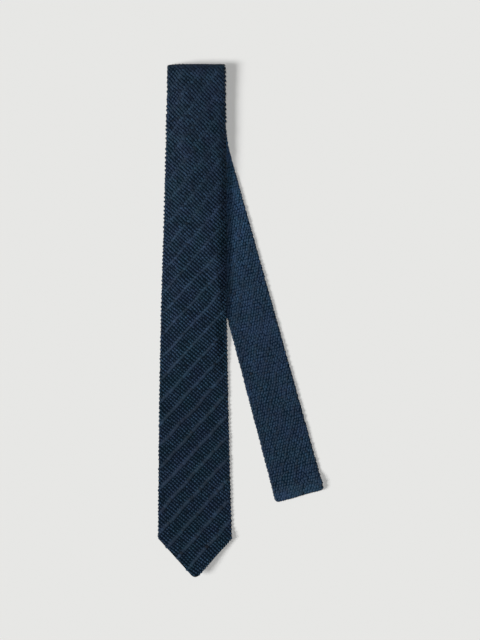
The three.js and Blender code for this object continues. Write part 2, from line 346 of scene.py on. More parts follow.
class Flat:
    """A stretch of a layer that lies flat, from one distance down its course to another."""

    def __init__(self, course, start, stop, face, rows=None, easing=1):
        self.course, self.start, self.stop, self.face = course, start, stop, face
        self.rows = rows or math.ceil(abs(stop - start) / GRID_ROW)
        self.easing = easing

    def down(self, share):
        return self.start + (self.stop - self.start) * share**self.easing

    def length(self, side):
        return abs(self.stop - self.start)

    def here(self, share):
        return self.course.at(self.down(share))

    def around(self, share, lap):
        """The place around the section of a distance over the cloth from its middle."""
        here = self.here(share)
        flat_half = np.maximum(here.half - edge_zone(here, self.course), THINNEST)
        past = np.maximum(np.abs(lap) - flat_half, 0) / edge_lap(self.course)
        return np.clip(lap / flat_half, -1, 1), past * QUARTER

    def put(self, share, place, side, sink):
        down = self.down(share)
        here = self.course.at(down)
        offset, reach = section(here, self.course, place, sink)
        x = here.x + offset * np.cos(here.heading)
        y = here.y + offset * np.sin(here.heading)
        end = roundness(here.to_end - sink, self.course.edge)
        z = self.course.under(x, y, down) + self.course.thick / 2 + side * reach * end
        return ORIGIN + np.stack([x, y, z], -1)


class Turn:
    """A turn from an upper layer into a lower one; towards is +1 at the top folds, -1 at the loop."""

    rows = 14

    def __init__(self, upper, lower, down, towards, face):
        self.upper, self.lower, self.start, self.stop = upper, lower, down, down
        self.towards, self.face = towards, face

    def length(self, side):
        return math.pi * (PITCH / 2 + side * CLOTH / 2 + TURN_ROOM)

    def here(self, share):
        return self.upper.at(np.full_like(share, self.start))

    def around(self, share, lap):
        return Flat(self.upper, self.start, self.stop, self.face, 1).around(share, lap)

    def put(self, share, place, side, sink):
        down = np.full_like(share, self.start)
        ends = []
        for course in (self.upper, self.lower):
            here = course.at(down)
            offset, reach = section(here, course, place, sink)
            x = here.x + offset
            z = course.under(x, here.y, down) + CLOTH / 2
            ends.append((x, z, reach, course.under(here.x, here.y, down)))
        (high_x, high_z, high_reach, high_middle), (low_x, low_z, low_reach, low_middle) = ends
        angle = math.pi * share
        reach = side * lerp(high_reach, low_reach, share)
        radius = (high_z - low_z) / 2
        fuller = lerp(radius, (high_middle - low_middle) / 2, FOLD_FULLNESS)
        x = lerp(high_x, low_x, share)
        y = self.towards * (fuller + reach) * np.sin(angle) - down
        z = (high_z + low_z) / 2 + (radius + reach) * np.cos(angle)
        return ORIGIN + np.stack([x, y, z], -1)


TIP_ROWS = 26
TIP_EASING = 2  # the rows come closer together towards the tip
END_ROWS = 20
FROM_END = 0.001  # the first row of stitches from the tip and from the square end
JOIN_DOWN = LOOP_DOWN - NECK_JOIN_UP

FRONT_ROUTE = (
    Flat(BLADE, BLADE_LENGTH, SHOULDERS_DOWN, 1, rows=TIP_ROWS, easing=TIP_EASING),
    Flat(BLADE, SHOULDERS_DOWN, TURN_REACH, 1),
    Turn(BLADE, TUCK, TURN_REACH, 1, 1),
    Flat(TUCK, TURN_REACH, JOIN_DOWN, -1),
)
FRONT_STITCHES = (Flat(BLADE, BLADE_LENGTH - FROM_END, TURN_REACH, 1), *FRONT_ROUTE[2:])
NECK_ROUTE = (
    Flat(TUCK, JOIN_DOWN + JOIN_GAP, LOOP_DOWN, -1),
    Turn(TUCK, BACK, LOOP_DOWN, -1, -1),
    Flat(BACK, LOOP_DOWN, TAIL_JOIN_DOWN + JOIN_GAP, 1),
)
TAIL_ROUTE = (
    Flat(BACK, TAIL_JOIN_DOWN, LOWER_FOLD_DOWN, 1),
    Turn(BACK, TAIL, LOWER_FOLD_DOWN, 1, 1),
    Flat(TAIL, LOWER_FOLD_DOWN, TAIL_LENGTH - SIDE_DRAPE, -1),
    Flat(TAIL, TAIL_LENGTH - SIDE_DRAPE, TAIL_LENGTH, -1, rows=END_ROWS),
)
TAIL_STITCHES = (*TAIL_ROUTE[:2], Flat(TAIL, LOWER_FOLD_DOWN, TAIL_LENGTH - FROM_END, -1))
FLAP_ROUTES = {
    "point_flap_left": (Flat(FLAP_LEFT, FLAP_END, SHOULDERS_DOWN, 1),),
    "point_flap_right": (Flat(FLAP_RIGHT, FLAP_END, SHOULDERS_DOWN, 1),),
}
HEM_ROUTE = (Flat(HEM, TAIL_LENGTH - TAIL_HEM, TAIL_LENGTH - FLAP_INSET, 1),)


def show(name, mesh, material):
    """A finished piece in the scene, riding with the tie."""
    piece = bpy.data.objects.new(name, mesh)
    bpy.context.scene.collection.objects.link(piece)
    mesh.materials.append(material)
    mesh.shade_smooth()
    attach(piece, "root")
    return piece


MERGE = 2e-6  # points of a tube this near each other are one


def knit_tube(name, route, sink, columns):
    """The flattened knit tube along a route: a grid wrapped round the section and closed."""
    rows = sum(stretch.rows for stretch in route)
    bm = bmesh.new()
    bm.loops.layers.uv.new("knit")
    bmesh.ops.create_grid(bm, x_segments=2 * columns, y_segments=rows, size=0.5, calc_uvs=True)
    grid = np.array([v.co for v in bm.verts]) + 0.5
    # Around the section is 4: over one wall from -1 to 1 across, and back over the other
    around, along = 4 * grid[:, 0], grid[:, 1] * rows
    first_wall = around < 2
    across = np.where(first_wall, around - 1, 3 - around)
    edge_share = np.maximum(np.abs(across) - FLAT_PART, 0) / (1 - FLAT_PART)
    place = (np.clip(across / FLAT_PART, -1, 1), edge_share * QUARTER)
    points = np.zeros((len(grid), 3))
    first = 0
    for stretch in route:
        last = first + stretch.rows
        here = (along > first - 0.5) & (along < last + 0.5)
        share = np.clip((along[here] - first) / stretch.rows, 0, 1)
        side = stretch.face * np.where(first_wall[here], 1, -1)
        points[here] = stretch.put(share, (place[0][here], place[1][here]), side, sink)
        first = last
    for v, point in zip(bm.verts, points):
        v.co = point
    bmesh.ops.remove_doubles(bm, verts=bm.verts, dist=MERGE)
    rim = [e for e in bm.edges if e.is_boundary]
    if rim:
        bmesh.ops.holes_fill(bm, edges=rim)
    bmesh.ops.recalc_face_normals(bm, faces=bm.faces)
    mesh = bpy.data.meshes.new(name)
    bm.to_mesh(mesh)
    bm.free()
    return mesh


# Stitches. A bead is one stitch, drawn out along its yarn, its two ends diving into the cloth.

Bead = namedtuple("Bead", "length width height dive")
BLADE_DASH = Bead(0.0031, 0.0019, 0.0013, 0.0004)
BLADE_RIB = Bead(0.0054, 0.0058, 0.0010, 0.0001)
TAIL_DASH = Bead(0.0033, 0.0023, 0.0011, 0.0004)
TAIL_RIB = Bead(0.0036, 0.0034, 0.0011, 0.0001)

# How the knit lies, by the distance below the top fold: the width of a column, the angle of the plain
# stitches in degrees, how far each diagonal line slips along the last (1 makes up half a column from
# rib to rib), how strong the ribs are, how far the stitches stand out, how broad and how light they
# are (1 is plain; painted shade at the top fold, painted light at the point and the tail's upper end),
# how the rows rise to the right in degrees, and how far the columns have moved left.

KnitRow = namedtuple("KnitRow", "down column angle slip rib relief cover tone rise aside")
BLADE_KNIT = (
    # The low tone at the top fold is painted shade, where the fold turns away from the light.
    KnitRow(0.000, 0.00348, -50, 0.15, 0.00, 0.65, 1.40, 0.68, 4.3, 0.0070),
    KnitRow(0.004, 0.00348, -50, 0.15, 0.00, 0.65, 1.40, 0.68, 4.3, 0.0068),
    KnitRow(0.008, 0.00348, -50, 0.15, 0.12, 0.75, 1.35, 1.10, 4.3, 0.0066),
    KnitRow(0.060, 0.00348, -48, 0.15, 0.12, 0.75, 1.35, 1.10, 4.3, 0.0035),
    KnitRow(0.120, 0.00355, -44, 0.35, 0.14, 0.80, 1.25, 1.19, 2.0, 0.0010),
    KnitRow(0.180, 0.00362, -41, 0.60, 0.22, 0.90, 1.15, 1.32, 0.0, 0.0000),
    KnitRow(0.270, 0.00369, -38, 0.65, 0.40, 0.95, 1.05, 1.40, 0.0, 0.0000),
    KnitRow(0.320, 0.00370, -38, 0.65, 0.74, 1.00, 1.00, 1.27, 0.0, 0.0000),
    KnitRow(0.450, 0.00370, -38, 0.65, 0.80, 1.00, 1.00, 1.27, 0.0, 0.0000),
    # The higher tone at the very point is painted light, making up for the lifted tip tilting from the
    # light.
    KnitRow(0.482, 0.00370, -38, 0.65, 0.50, 1.00, 1.00, 1.42, 0.0, 0.0000),
)
TAIL_KNIT = (
    # The high tone at the tail's upper end, fading by 0.2 m down, is painted light where it comes out from
    # under the blade.
    KnitRow(0.000, 0.00242, 61, 0.0, 0.35, 0.95, 1.15, 2.00, 0.0, 0.0000),
    KnitRow(0.200, 0.00246, 61, 0.0, 0.35, 0.95, 1.15, 1.00, 0.0, 0.0000),
    KnitRow(0.330, 0.00256, 61, 0.0, 0.35, 0.95, 1.15, 0.79, 0.0, 0.0000),
    KnitRow(0.404, 0.00260, 61, 0.0, 0.30, 0.95, 1.15, 0.82, 0.0, 0.0000),
    KnitRow(0.410, 0.00260, 61, 0.0, 0.00, 0.80, 1.35, 0.84, 0.0, 0.0000),
    KnitRow(0.413, 0.00260, 61, 0.0, 0.00, 0.85, 1.35, 0.98, 0.0, 0.0000),
    KnitRow(0.418, 0.00260, 61, 0.0, 0.00, 0.85, 1.35, 0.98, 0.0, 0.0000),
)

# A knit has its rows' pitch, its ribs up to the right (1) or to the left (-1) as the route runs, its
# table, its two beads, how far its first row lies before the route's start, how uneven its stitches
# are in angle, place and tone, and how far its ground lies under its face.
Knit = namedtuple("Knit", "row lean table dash rib start uneven_angle uneven_place uneven_tone sink")

MOST_COLUMNS = 30
EDGE_TURN = 0.9  # how far round an edge the stitches go, in shares of a quarter
FOLDED_TURN = 0.6  # the same at the point, where the cloth is folded under
NEARBY = 0.0002  # a small step, for directions over the cloth
LIFT = 0.0004  # how far a stitch of twice the relief stands out
RIB_LIFT = 0.0004  # the same for a full rib
RIB_PAINTED_SHADE = 0.45  # how much darker the yarn of a full rib is painted: painted shade that tempers the light its broad flat top catches
RIB_FADE = 0.005  # a rib grows from nothing over this distance from an edge
LEAST_HEIGHT = 2e-5  # over the surface that it lies on
WAVES = 7
WAVE_SPREAD = (0.7, 1.5)  # of the waves' lengths, next to the named one
WAVER_LENGTH = 0.030
RELIEF_LENGTH = 0.014
TONE_LENGTH = 0.022


def ripples(x, y, wavelength, seed):
    """Soft patches around 0, from a few waves each way."""
    random = np.random.default_rng(seed)
    turn, phase = random.uniform(0, 2 * math.pi, (2, WAVES))
    pitch = 2 * math.pi / (wavelength * random.uniform(*WAVE_SPREAD, WAVES))
    along = x[:, None] * np.cos(turn) + y[:, None] * np.sin(turn)
    return np.sin(pitch * along + phase).sum(1) * math.sqrt(2 / WAVES)


def knit_row(table, down):
    """The table's values at each distance down."""
    known = np.array(table)
    return KnitRow(*(np.interp(down, known[:, 0], known[:, k]) for k in range(known.shape[1])))


def unit(vectors):
    return vectors / np.linalg.norm(vectors, axis=-1, keepdims=True)


Lay = namedtuple("Lay", "points frames sizes dives tones")


def lay_stitches(route, wall, knit, parts, seed):
    """Where the stitches of one wall of a tube go, on the stretches that parts names.

    Every row is half a column aside from the last, and a rib runs up every few diagonal lines.
    """
    settings = bpy.context.scene.necktie_knit
    random = np.random.default_rng(seed)
    lengths = [stretch.length(stretch.face * wall) for stretch in route]
    ends = np.concatenate([[0], np.cumsum(lengths)])
    rows = np.arange(math.ceil((ends[-1] + knit.start) / knit.row))
    columns = np.arange(-MOST_COLUMNS, MOST_COLUMNS + 1)
    row, column = (v.ravel() for v in np.meshgrid(rows, columns, indexing="ij"))
    along = (row + 0.5) * knit.row - knit.start
    here = knit_row(knit.table, np.interp(along, ends, [route[0].start, *(s.stop for s in route)]))
    line = column - row // 2 if knit.lean > 0 else column + (row + 1) // 2
    slip = line % settings.rib_every / settings.rib_every * here.slip
    lap = (column + 0.5 * (row % 2) + 0.5 * slip) * here.column - here.aside
    along = along + knit.lean * slip * knit.row + lap * np.tan(np.radians(here.rise))
    wander = [settings.waver * ripples(lap, along, WAVER_LENGTH, seed + k) for k in (1, 2)]
    lap, along = lap + wander[0], along + wander[1]
    rib = line % settings.rib_every == 0
    strength = rib * here.rib
    relief = here.relief * (1 + settings.patchiness * ripples(lap, along, RELIEF_LENGTH, seed + 3))
    tone = here.tone * (1 + settings.tone_patches * ripples(lap, along, TONE_LENGTH, seed + 4))
    tone = tone * random.normal(1, knit.uneven_tone, len(tone))
    rib_angle = np.arctan2(2 * knit.row, here.column)
    uneven = random.normal(0, knit.uneven_angle, len(tone))
    along = along + random.normal(0, knit.uneven_place, len(tone))
    lap = lap + random.normal(0, knit.uneven_place, len(tone))
    dash, ribbed = np.array(knit.dash), np.array(knit.rib)
    found = []
    for number in parts:
        stretch = route[number]
        side = stretch.face * wall
        share = (along - ends[number]) / lengths[number]
        chosen = np.flatnonzero((share >= 0) & (share < 1))
        place = stretch.around(share[chosen], lap[chosen])
        there = stretch.here(share[chosen])
        folded = there.slant < 1
        kept = place[1] < np.where(folded, FOLDED_TURN, EDGE_TURN) * QUARTER
        inside = np.clip((there.half - np.abs(lap[chosen])) * there.slant / RIB_FADE, 0, 1)[kept]
        chosen, place = chosen[kept], (place[0][kept], place[1][kept])
        grown = strength[chosen] * inside
        at = share[chosen]
        sign = np.where(lap[chosen] < 0, -1, 1)
        inner_place = stretch.around(at, lap[chosen] - sign * NEARBY)
        point = stretch.put(at, place, side, knit.sink)
        right = unit((point - stretch.put(at, inner_place, side, knit.sink)) * sign[:, None])
        up = unit(stretch.put(at + NEARBY / lengths[number], place, side, knit.sink) - point)
        out = unit(np.cross(right, up))
        out *= np.sign(np.sum(out * (point - stretch.put(at, place, -side, knit.sink)), axis=1))[:, None]
        angle = lerp(np.radians(here.angle[chosen]), rib_angle[chosen], np.minimum(2 * grown, 1))
        turned = (angle * knit.lean + uneven[chosen])[:, None]
        long = unit(right * np.cos(turned) + up * np.sin(turned))
        frames = np.stack([long, np.cross(out, long), out], 1)
        point = point + out * (LIFT * (relief[chosen] - 1) + RIB_LIFT * grown)[:, None]
        size = dash + grown[:, None] * (ribbed - dash)
        size[:, :2] *= here.cover[chosen, None]
        size[:, 2] *= relief[chosen]
        # Ribs get painted shade: the yarn of a full rib is made darker.
        found.append(Lay(point, frames, size[:, :3], size[:, 3], tone[chosen] * (1 - RIB_PAINTED_SHADE * grown)))
    return Lay(*(np.concatenate(v) for v in zip(*found)))


Shape = namedtuple("Shape", "points faces uvs")


def bead_shape(around, lengthways):
    """A bead of length, width and height 1, along X."""
    bm = bmesh.new()
    layer = bm.loops.layers.uv.verify()
    bmesh.ops.create_uvsphere(bm, u_segments=around, v_segments=lengthways, radius=0.5, calc_uvs=True)
    bmesh.ops.rotate(bm, verts=bm.verts, matrix=Matrix.Rotation(QUARTER, 3, "Y"))
    bmesh.ops.triangulate(bm, faces=bm.faces)
    bm.verts.index_update()
    points = np.array([v.co for v in bm.verts])
    faces = np.array([[v.index for v in f.verts] for f in bm.faces])
    uvs = np.array([[loop[layer].uv for loop in f.loops] for f in bm.faces])
    bm.free()
    return Shape(points, faces, uvs)


def stitch_mesh(name, lays):
    """Stitches as one joined mesh: each lay's shape repeated at all of its places."""
    points, faces, uvs, tones = [], [], [], []
    start = 0
    for shape, lay in lays:
        beads = shape.points[None] * lay.sizes[:, None]
        beads[..., 2] -= lay.dives[:, None] * (2 * shape.points[None, :, 0]) ** 2
        beads = lay.points[:, None] + np.einsum("nmk,nkj->nmj", beads, lay.frames)
        points.append(beads.reshape(-1, 3))
        firsts = start + np.arange(len(beads)) * len(shape.points)
        faces.append((shape.faces[None] + firsts[:, None, None]).reshape(-1, 3))
        uvs.append(np.tile(shape.uvs.reshape(-1, 2), (len(beads), 1)))
        tones.append(np.repeat(lay.tones, len(shape.points)))
        start += len(beads) * len(shape.points)
    points = np.concatenate(points)
    points[:, 2] = np.maximum(points[:, 2], LEAST_HEIGHT)
    mesh = bpy.data.meshes.new(name)
    mesh.from_pydata(points, [], np.concatenate(faces))
    mesh.uv_layers.new(name="yarn").data.foreach_set("uv", np.concatenate(uvs).ravel())
    mesh.attributes.new("tone", "FLOAT", "POINT").data.foreach_set("value", np.concatenate(tones))
    return mesh


# Materials

PATCH_SCALE = 60
PATCH_DETAIL = 3
PATCH_RANGE = (0.35, 0.65)  # of the noise, from one dye to the other
PATCH_ROUGHNESS = 0.16
TWIST_SCALE = 1.2
TWIST_BAND = 2 * math.pi / 10 / TWIST_SCALE  # a wave texture repeats after this
TWISTS = (5, 10)  # bands of the yarn's twist, across and along a stitch's map
LOOP_UNEVENNESS = 0.15
LOOP_SHADE_AND_RELIEF = (1.15, 0.7)  # painted shade and height: lighter and higher at a loop's middle, darker and lower far from it
YARN_ROUGHNESS = 0.4
GROUND_ROUGHNESS = 0.75
SHEEN_ROUGHNESS = 0.4
BUMP_STRENGTH = 0.4
BUMP_DISTANCE = 0.0002
SURFACE_ROUGHNESS = 0.9
SURFACE_GLOSS = 0.1
VIOLET = (1.25, 0.93, 1.10)  # what the second dye is, next to the first
GROUND_PAINTED_SHADE = 0.30  # the ground's colour, next to the yarn's: painted shade in the gaps between and under the stitches
YARN_SHEEN = 0.02
BLADE_GLOSS = 0.10
TAIL_GLOSS = 0.19


def new_group(name, inputs, outputs):
    group = bpy.data.node_groups.new(name, "ShaderNodeTree")
    for socket, kind, value in inputs:
        made = group.interface.new_socket(socket, in_out="INPUT", socket_type=kind)
        made.default_value = value
    for socket, kind in outputs:
        group.interface.new_socket(socket, in_out="OUTPUT", socket_type=kind)
    return group, group.nodes.new("NodeGroupInput"), group.nodes.new("NodeGroupOutput")


CLOTH_SOCKETS = (
    ("Color", "NodeSocketColor"),
    ("Roughness", "NodeSocketFloat"),
    ("Height", "NodeSocketFloat"),
)


def patched_colour(nodes, links, given):
    """Two dyes mixed in soft patches over the cloth, and the patches themselves."""
    where = nodes.new("ShaderNodeTexCoord")
    patches = nodes.new("ShaderNodeTexNoise")
    patches.inputs["Scale"].default_value = PATCH_SCALE
    patches.inputs["Detail"].default_value = PATCH_DETAIL
    links.new(where.outputs["Object"], patches.inputs["Vector"])
    spread = nodes.new("ShaderNodeMapRange")
    spread.inputs["From Min"].default_value, spread.inputs["From Max"].default_value = PATCH_RANGE
    links.new(patches.outputs["Fac"], spread.inputs["Value"])
    mixed = nodes.new("ShaderNodeMix")
    mixed.data_type = "RGBA"
    links.new(spread.outputs["Result"], mixed.inputs["Factor"])
    links.new(given.outputs["Colour"], mixed.inputs["A"])
    links.new(given.outputs["Other Colour"], mixed.inputs["B"])
    return where, patches, mixed


def patched_roughness(nodes, links, given, patches, result):
    rough = nodes.new("ShaderNodeMath")
    rough.operation = "MULTIPLY_ADD"
    rough.inputs[1].default_value = PATCH_ROUGHNESS
    links.new(patches.outputs["Fac"], rough.inputs[0])
    links.new(given.outputs["Roughness"], rough.inputs[2])
    links.new(rough.outputs["Value"], result.inputs["Roughness"])


def yarn_group():
    """Dyed silk yarn: its colour over the cloth and from stitch to stitch, with painted light and shade in
    each stitch's tone, its gloss and its twist.
    """
    group, given, result = new_group(
        "silk_yarn",
        (
            ("Colour", "NodeSocketColor", (0.05, 0.08, 0.12, 1)),
            ("Other Colour", "NodeSocketColor", (0.05, 0.07, 0.12, 1)),
            ("Roughness", "NodeSocketFloat", 0.5),
        ),
        CLOTH_SOCKETS,
    )
    nodes, links = group.nodes, group.links
    where, patches, mixed = patched_colour(nodes, links, given)
    tone = nodes.new("ShaderNodeAttribute")
    tone.attribute_name = "tone"
    toned = nodes.new("ShaderNodeVectorMath")
    toned.operation = "SCALE"
    links.new(mixed.outputs["Result"], toned.inputs[0])
    links.new(tone.outputs["Fac"], toned.inputs["Scale"])
    links.new(toned.outputs["Vector"], result.inputs["Color"])
    patched_roughness(nodes, links, given, patches, result)
    twist = nodes.new("ShaderNodeTexWave")
    twist.wave_type = "BANDS"
    twist.bands_direction = "DIAGONAL"
    twist.inputs["Scale"].default_value = TWIST_SCALE
    turned = nodes.new("ShaderNodeMapping")
    turned.inputs["Scale"].default_value = (*(bands * TWIST_BAND for bands in TWISTS), 0)
    links.new(where.outputs["UV"], turned.inputs["Vector"])
    links.new(turned.outputs["Vector"], twist.inputs["Vector"])
    links.new(twist.outputs["Fac"], result.inputs["Height"])
    return group


def ground_group():
    """The ground of the knit between and under the stitches, its colour darkened as painted shade: loops in
    rows, seen as a soft relief and painted darker towards each loop's rim.
    """
    group, given, result = new_group(
        "knit_ground",
        (
            ("Colour", "NodeSocketColor", (0.01, 0.02, 0.03, 1)),
            ("Other Colour", "NodeSocketColor", (0.01, 0.02, 0.04, 1)),
            ("Roughness", "NodeSocketFloat", 0.7),
            ("Columns", "NodeSocketFloat", 30),
            ("Rows", "NodeSocketFloat", 200),
        ),
        CLOTH_SOCKETS,
    )
    nodes, links = group.nodes, group.links
    where, patches, mixed = patched_colour(nodes, links, given)
    counts = nodes.new("ShaderNodeCombineXYZ")
    links.new(given.outputs["Columns"], counts.inputs["X"])
    links.new(given.outputs["Rows"], counts.inputs["Y"])
    scaled = nodes.new("ShaderNodeVectorMath")
    scaled.operation = "MULTIPLY"
    links.new(where.outputs["UV"], scaled.inputs[0])
    links.new(counts.outputs["Vector"], scaled.inputs[1])
    loops = nodes.new("ShaderNodeTexVoronoi")
    loops.feature = "SMOOTH_F1"
    loops.inputs["Scale"].default_value = 1
    loops.inputs["Randomness"].default_value = LOOP_UNEVENNESS
    links.new(scaled.outputs["Vector"], loops.inputs["Vector"])
    # Each loop is painted darker towards its rim, painted shade between the loops; the same values give the
    # relief.
    loop_shade_and_height = nodes.new("ShaderNodeMapRange")
    loop_shade_and_height.inputs["To Min"].default_value, loop_shade_and_height.inputs["To Max"].default_value = LOOP_SHADE_AND_RELIEF
    links.new(loops.outputs["Distance"], loop_shade_and_height.inputs["Value"])
    toned = nodes.new("ShaderNodeVectorMath")
    toned.operation = "SCALE"
    links.new(mixed.outputs["Result"], toned.inputs[0])
    links.new(loop_shade_and_height.outputs["Result"], toned.inputs["Scale"])
    links.new(toned.outputs["Vector"], result.inputs["Color"])
    patched_roughness(nodes, links, given, patches, result)
    links.new(loop_shade_and_height.outputs["Result"], result.inputs["Height"])
    return group


def cloth_material(name, group, values, gloss=0.0, sheen=0.0):
    """A material of the yarn or the ground group, its colours and relief from the group."""
    material = bpy.data.materials.new(name)
    material.use_nodes = True
    nodes, links = material.node_tree.nodes, material.node_tree.links
    shader = nodes["Principled BSDF"]
    cloth = nodes.new("ShaderNodeGroup")
    cloth.node_tree = group
    for socket, value in values.items():
        cloth.inputs[socket].default_value = value
    bump = nodes.new("ShaderNodeBump")
    bump.inputs["Strength"].default_value = BUMP_STRENGTH
    bump.inputs["Distance"].default_value = BUMP_DISTANCE
    links.new(cloth.outputs["Color"], shader.inputs["Base Color"])
    links.new(cloth.outputs["Roughness"], shader.inputs["Roughness"])
    links.new(cloth.outputs["Height"], bump.inputs["Height"])
    links.new(bump.outputs["Normal"], shader.inputs["Normal"])
    shader.inputs["Sheen Weight"].default_value = sheen
    shader.inputs["Sheen Roughness"].default_value = SHEEN_ROUGHNESS
    shader.inputs["Specular IOR Level"].default_value = gloss
    return material


def surface_material(colour):
    material = bpy.data.materials.new("pale_surface")
    material.use_nodes = True
    shader = material.node_tree.nodes["Principled BSDF"]
    shader.inputs["Base Color"].default_value = (*colour, 1)
    shader.inputs["Roughness"].default_value = SURFACE_ROUGHNESS
    shader.inputs["Specular IOR Level"].default_value = SURFACE_GLOSS
    return material


GROUPS = {}


def yarn_material(name, colour, gloss):
    if "yarn" not in GROUPS:
        GROUPS["yarn"] = yarn_group()
    other = [v * k for v, k in zip(colour, VIOLET)]
    values = {"Colour": (*colour, 1), "Other Colour": (*other, 1), "Roughness": YARN_ROUGHNESS}
    return cloth_material(name, GROUPS["yarn"], values, gloss, YARN_SHEEN)


def ground_material(name, colour, route, columns):
    if "ground" not in GROUPS:
        GROUPS["ground"] = ground_group()
    # The ground is painted darker than the yarn, as painted shade in the gaps between the stitches.
    dark = [v * GROUND_PAINTED_SHADE for v in colour]
    other = [v * k for v, k in zip(dark, VIOLET)]
    rows = tube_length(route) / bpy.context.scene.necktie_knit.blade_row
    values = {
        "Colour": (*dark, 1), "Other Colour": (*other, 1), "Roughness": GROUND_ROUGHNESS,
        "Columns": columns, "Rows": rows,
    }
    return cloth_material(name, GROUPS["ground"], values)


class KnitSettings(bpy.types.PropertyGroup):
    blade_row: bpy.props.FloatProperty(
        name="Blade row", description="Height of a row of stitches on the blade",
        default=0.00203, unit="LENGTH",
    )
    tail_row: bpy.props.FloatProperty(
        name="Tail row", description="Height of a row of stitches on the tail",
        default=0.00265, unit="LENGTH",
    )
    rib_every: bpy.props.IntProperty(
        name="Rib every", description="Diagonal lines of stitches from one rib to the next",
        default=5, min=2,
    )
    blade_sink: bpy.props.FloatProperty(
        name="Blade ground", description="How far the ground of the blade's knit lies under its face",
        default=0.00045, unit="LENGTH",
    )
    tail_sink: bpy.props.FloatProperty(
        name="Tail ground", description="How far the ground of the tail's knit lies under its face",
        default=0.0002, unit="LENGTH",
    )
    waver: bpy.props.FloatProperty(
        name="Waver", description="How far the lines of stitches wander", default=0.0003, unit="LENGTH",
    )
    patchiness: bpy.props.FloatProperty(
        name="Patchiness", description="How much the stitches' relief changes over the cloth", default=0.08,
    )
    tone_patches: bpy.props.FloatProperty(
        name="Shading", description="How much their tone changes over the cloth", default=0.06,
    )
    blade_colour: bpy.props.FloatVectorProperty(
        name="Blade colour", description="Colour of the blade's yarn",
        default=(0.0114, 0.0297, 0.0502), subtype="COLOR", min=0, max=1,
    )
    tail_colour: bpy.props.FloatVectorProperty(
        name="Tail colour", description="Colour of the tail's yarn, which catches more light",
        default=(0.0104, 0.0362, 0.0690), subtype="COLOR", min=0, max=1,
    )


def blade_knit():
    knit = bpy.context.scene.necktie_knit
    return Knit(
        row=knit.blade_row, lean=1, table=BLADE_KNIT, dash=BLADE_DASH, rib=BLADE_RIB, start=0.0066,
        uneven_angle=0.14, uneven_place=0.00013, uneven_tone=0.20, sink=knit.blade_sink,
    )


def tail_knit():
    knit = bpy.context.scene.necktie_knit
    return Knit(
        row=knit.tail_row, lean=-1, table=TAIL_KNIT, dash=TAIL_DASH, rib=TAIL_RIB, start=0,
        uneven_angle=0.25, uneven_place=0.0002, uneven_tone=0.16, sink=knit.tail_sink,
    )


def tube_length(route):
    return sum(stretch.length(0) for stretch in route)


AREA_SAMPLES = 200


def tube_area(route):
    """The plan area of a flattened tube, from its width along its route."""
    shares = np.linspace(0, 1, AREA_SAMPLES)
    return sum(2 * stretch.here(shares).half.mean() * stretch.length(0) for stretch in route)


FINE, COARSE = (6, 4), (4, 3)  # faces around and along a stitch, where it shows and where it hardly does
BLADE_COLUMNS, NECK_COLUMNS, TAIL_COLUMNS, FLAP_COLUMNS = 40, 28, 32, 12  # of loops around the ground
TUBE_COLUMNS = 38


def knitted(name, node, route, columns, colour, sink):
    """The ground of a piece, in the place of its plain solid."""
    mesh = knit_tube(name, route, sink, TUBE_COLUMNS)
    ground = show(name, mesh, ground_material(name, colour, route, columns))
    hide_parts(node)
    return ground


class NECKTIE_OT_front_blade(bpy.types.Operator):
    """Knit the broad end, from its point over the top fold and down behind"""

    bl_idname = "necktie.front_blade"
    bl_label = "Front blade"

    def execute(self, context):
        colour = tuple(context.scene.necktie_knit.blade_colour)
        knit = blade_knit()
        ground = knitted(
            "front_knit", "front_blade", FRONT_ROUTE, BLADE_COLUMNS, colour, knit.sink
        )
        yarn = yarn_material("blade_yarn", colour, BLADE_GLOSS)
        fine, coarse = bead_shape(*FINE), bead_shape(*COARSE)
        face = stitch_mesh("front_stitches", [
            (fine, lay_stitches(FRONT_STITCHES, 1, knit, (0, 1), seed=11)),
        ])
        behind = stitch_mesh("front_back_stitches", [
            (coarse, lay_stitches(FRONT_STITCHES, 1, knit, (2,), seed=12)),
            (coarse, lay_stitches(FRONT_STITCHES, -1, knit, (0, 2), seed=13)),
        ])
        stitches = [
            show("front_stitches", face, yarn),
            show("front_back_stitches", behind, yarn),
        ]
        tube_length(FRONT_ROUTE)
        tube_area(FRONT_ROUTE)
        return {"FINISHED"}


class NECKTIE_OT_point_flaps(bpy.types.Operator):
    """Knit the two corners that are turned under to make the point"""

    bl_idname = "necktie.point_flaps"
    bl_label = "Point flaps"

    def execute(self, context):
        colour = tuple(context.scene.necktie_knit.blade_colour)
        knit, coarse = blade_knit(), bead_shape(*COARSE)
        yarn = yarn_material("flap_yarn", colour, BLADE_GLOSS)
        for name, route in FLAP_ROUTES.items():
            knitted(f"{name}_knit", name, route, FLAP_COLUMNS, colour, knit.sink)
            mesh = stitch_mesh(f"{name}_stitches", [
                (coarse, lay_stitches(route, wall, knit, (0,), seed=21)) for wall in (1, -1)
            ])
            show(f"{name}_stitches", mesh, yarn)
        return {"FINISHED"}


class NECKTIE_OT_neck_band(bpy.types.Operator):
    """Knit the narrow middle, turned back on itself behind the blade"""

    bl_idname = "necktie.neck_band"
    bl_label = "Neck band"

    def execute(self, context):
        colour = tuple(context.scene.necktie_knit.tail_colour)
        knit, coarse = tail_knit(), bead_shape(*COARSE)
        ground = knitted(
            "neck_knit", "neck_band", NECK_ROUTE, NECK_COLUMNS, colour, knit.sink
        )
        mesh = stitch_mesh("neck_stitches", [
            (coarse, lay_stitches(NECK_ROUTE, 1, knit, (0, 2), seed=31)),
            (coarse, lay_stitches(NECK_ROUTE, -1, knit, (0, 1, 2), seed=32)),
        ])
        stitches = show("neck_stitches", mesh, yarn_material("neck_yarn", colour, TAIL_GLOSS))
        tube_length(NECK_ROUTE)
        tube_area(NECK_ROUTE)
        return {"FINISHED"}


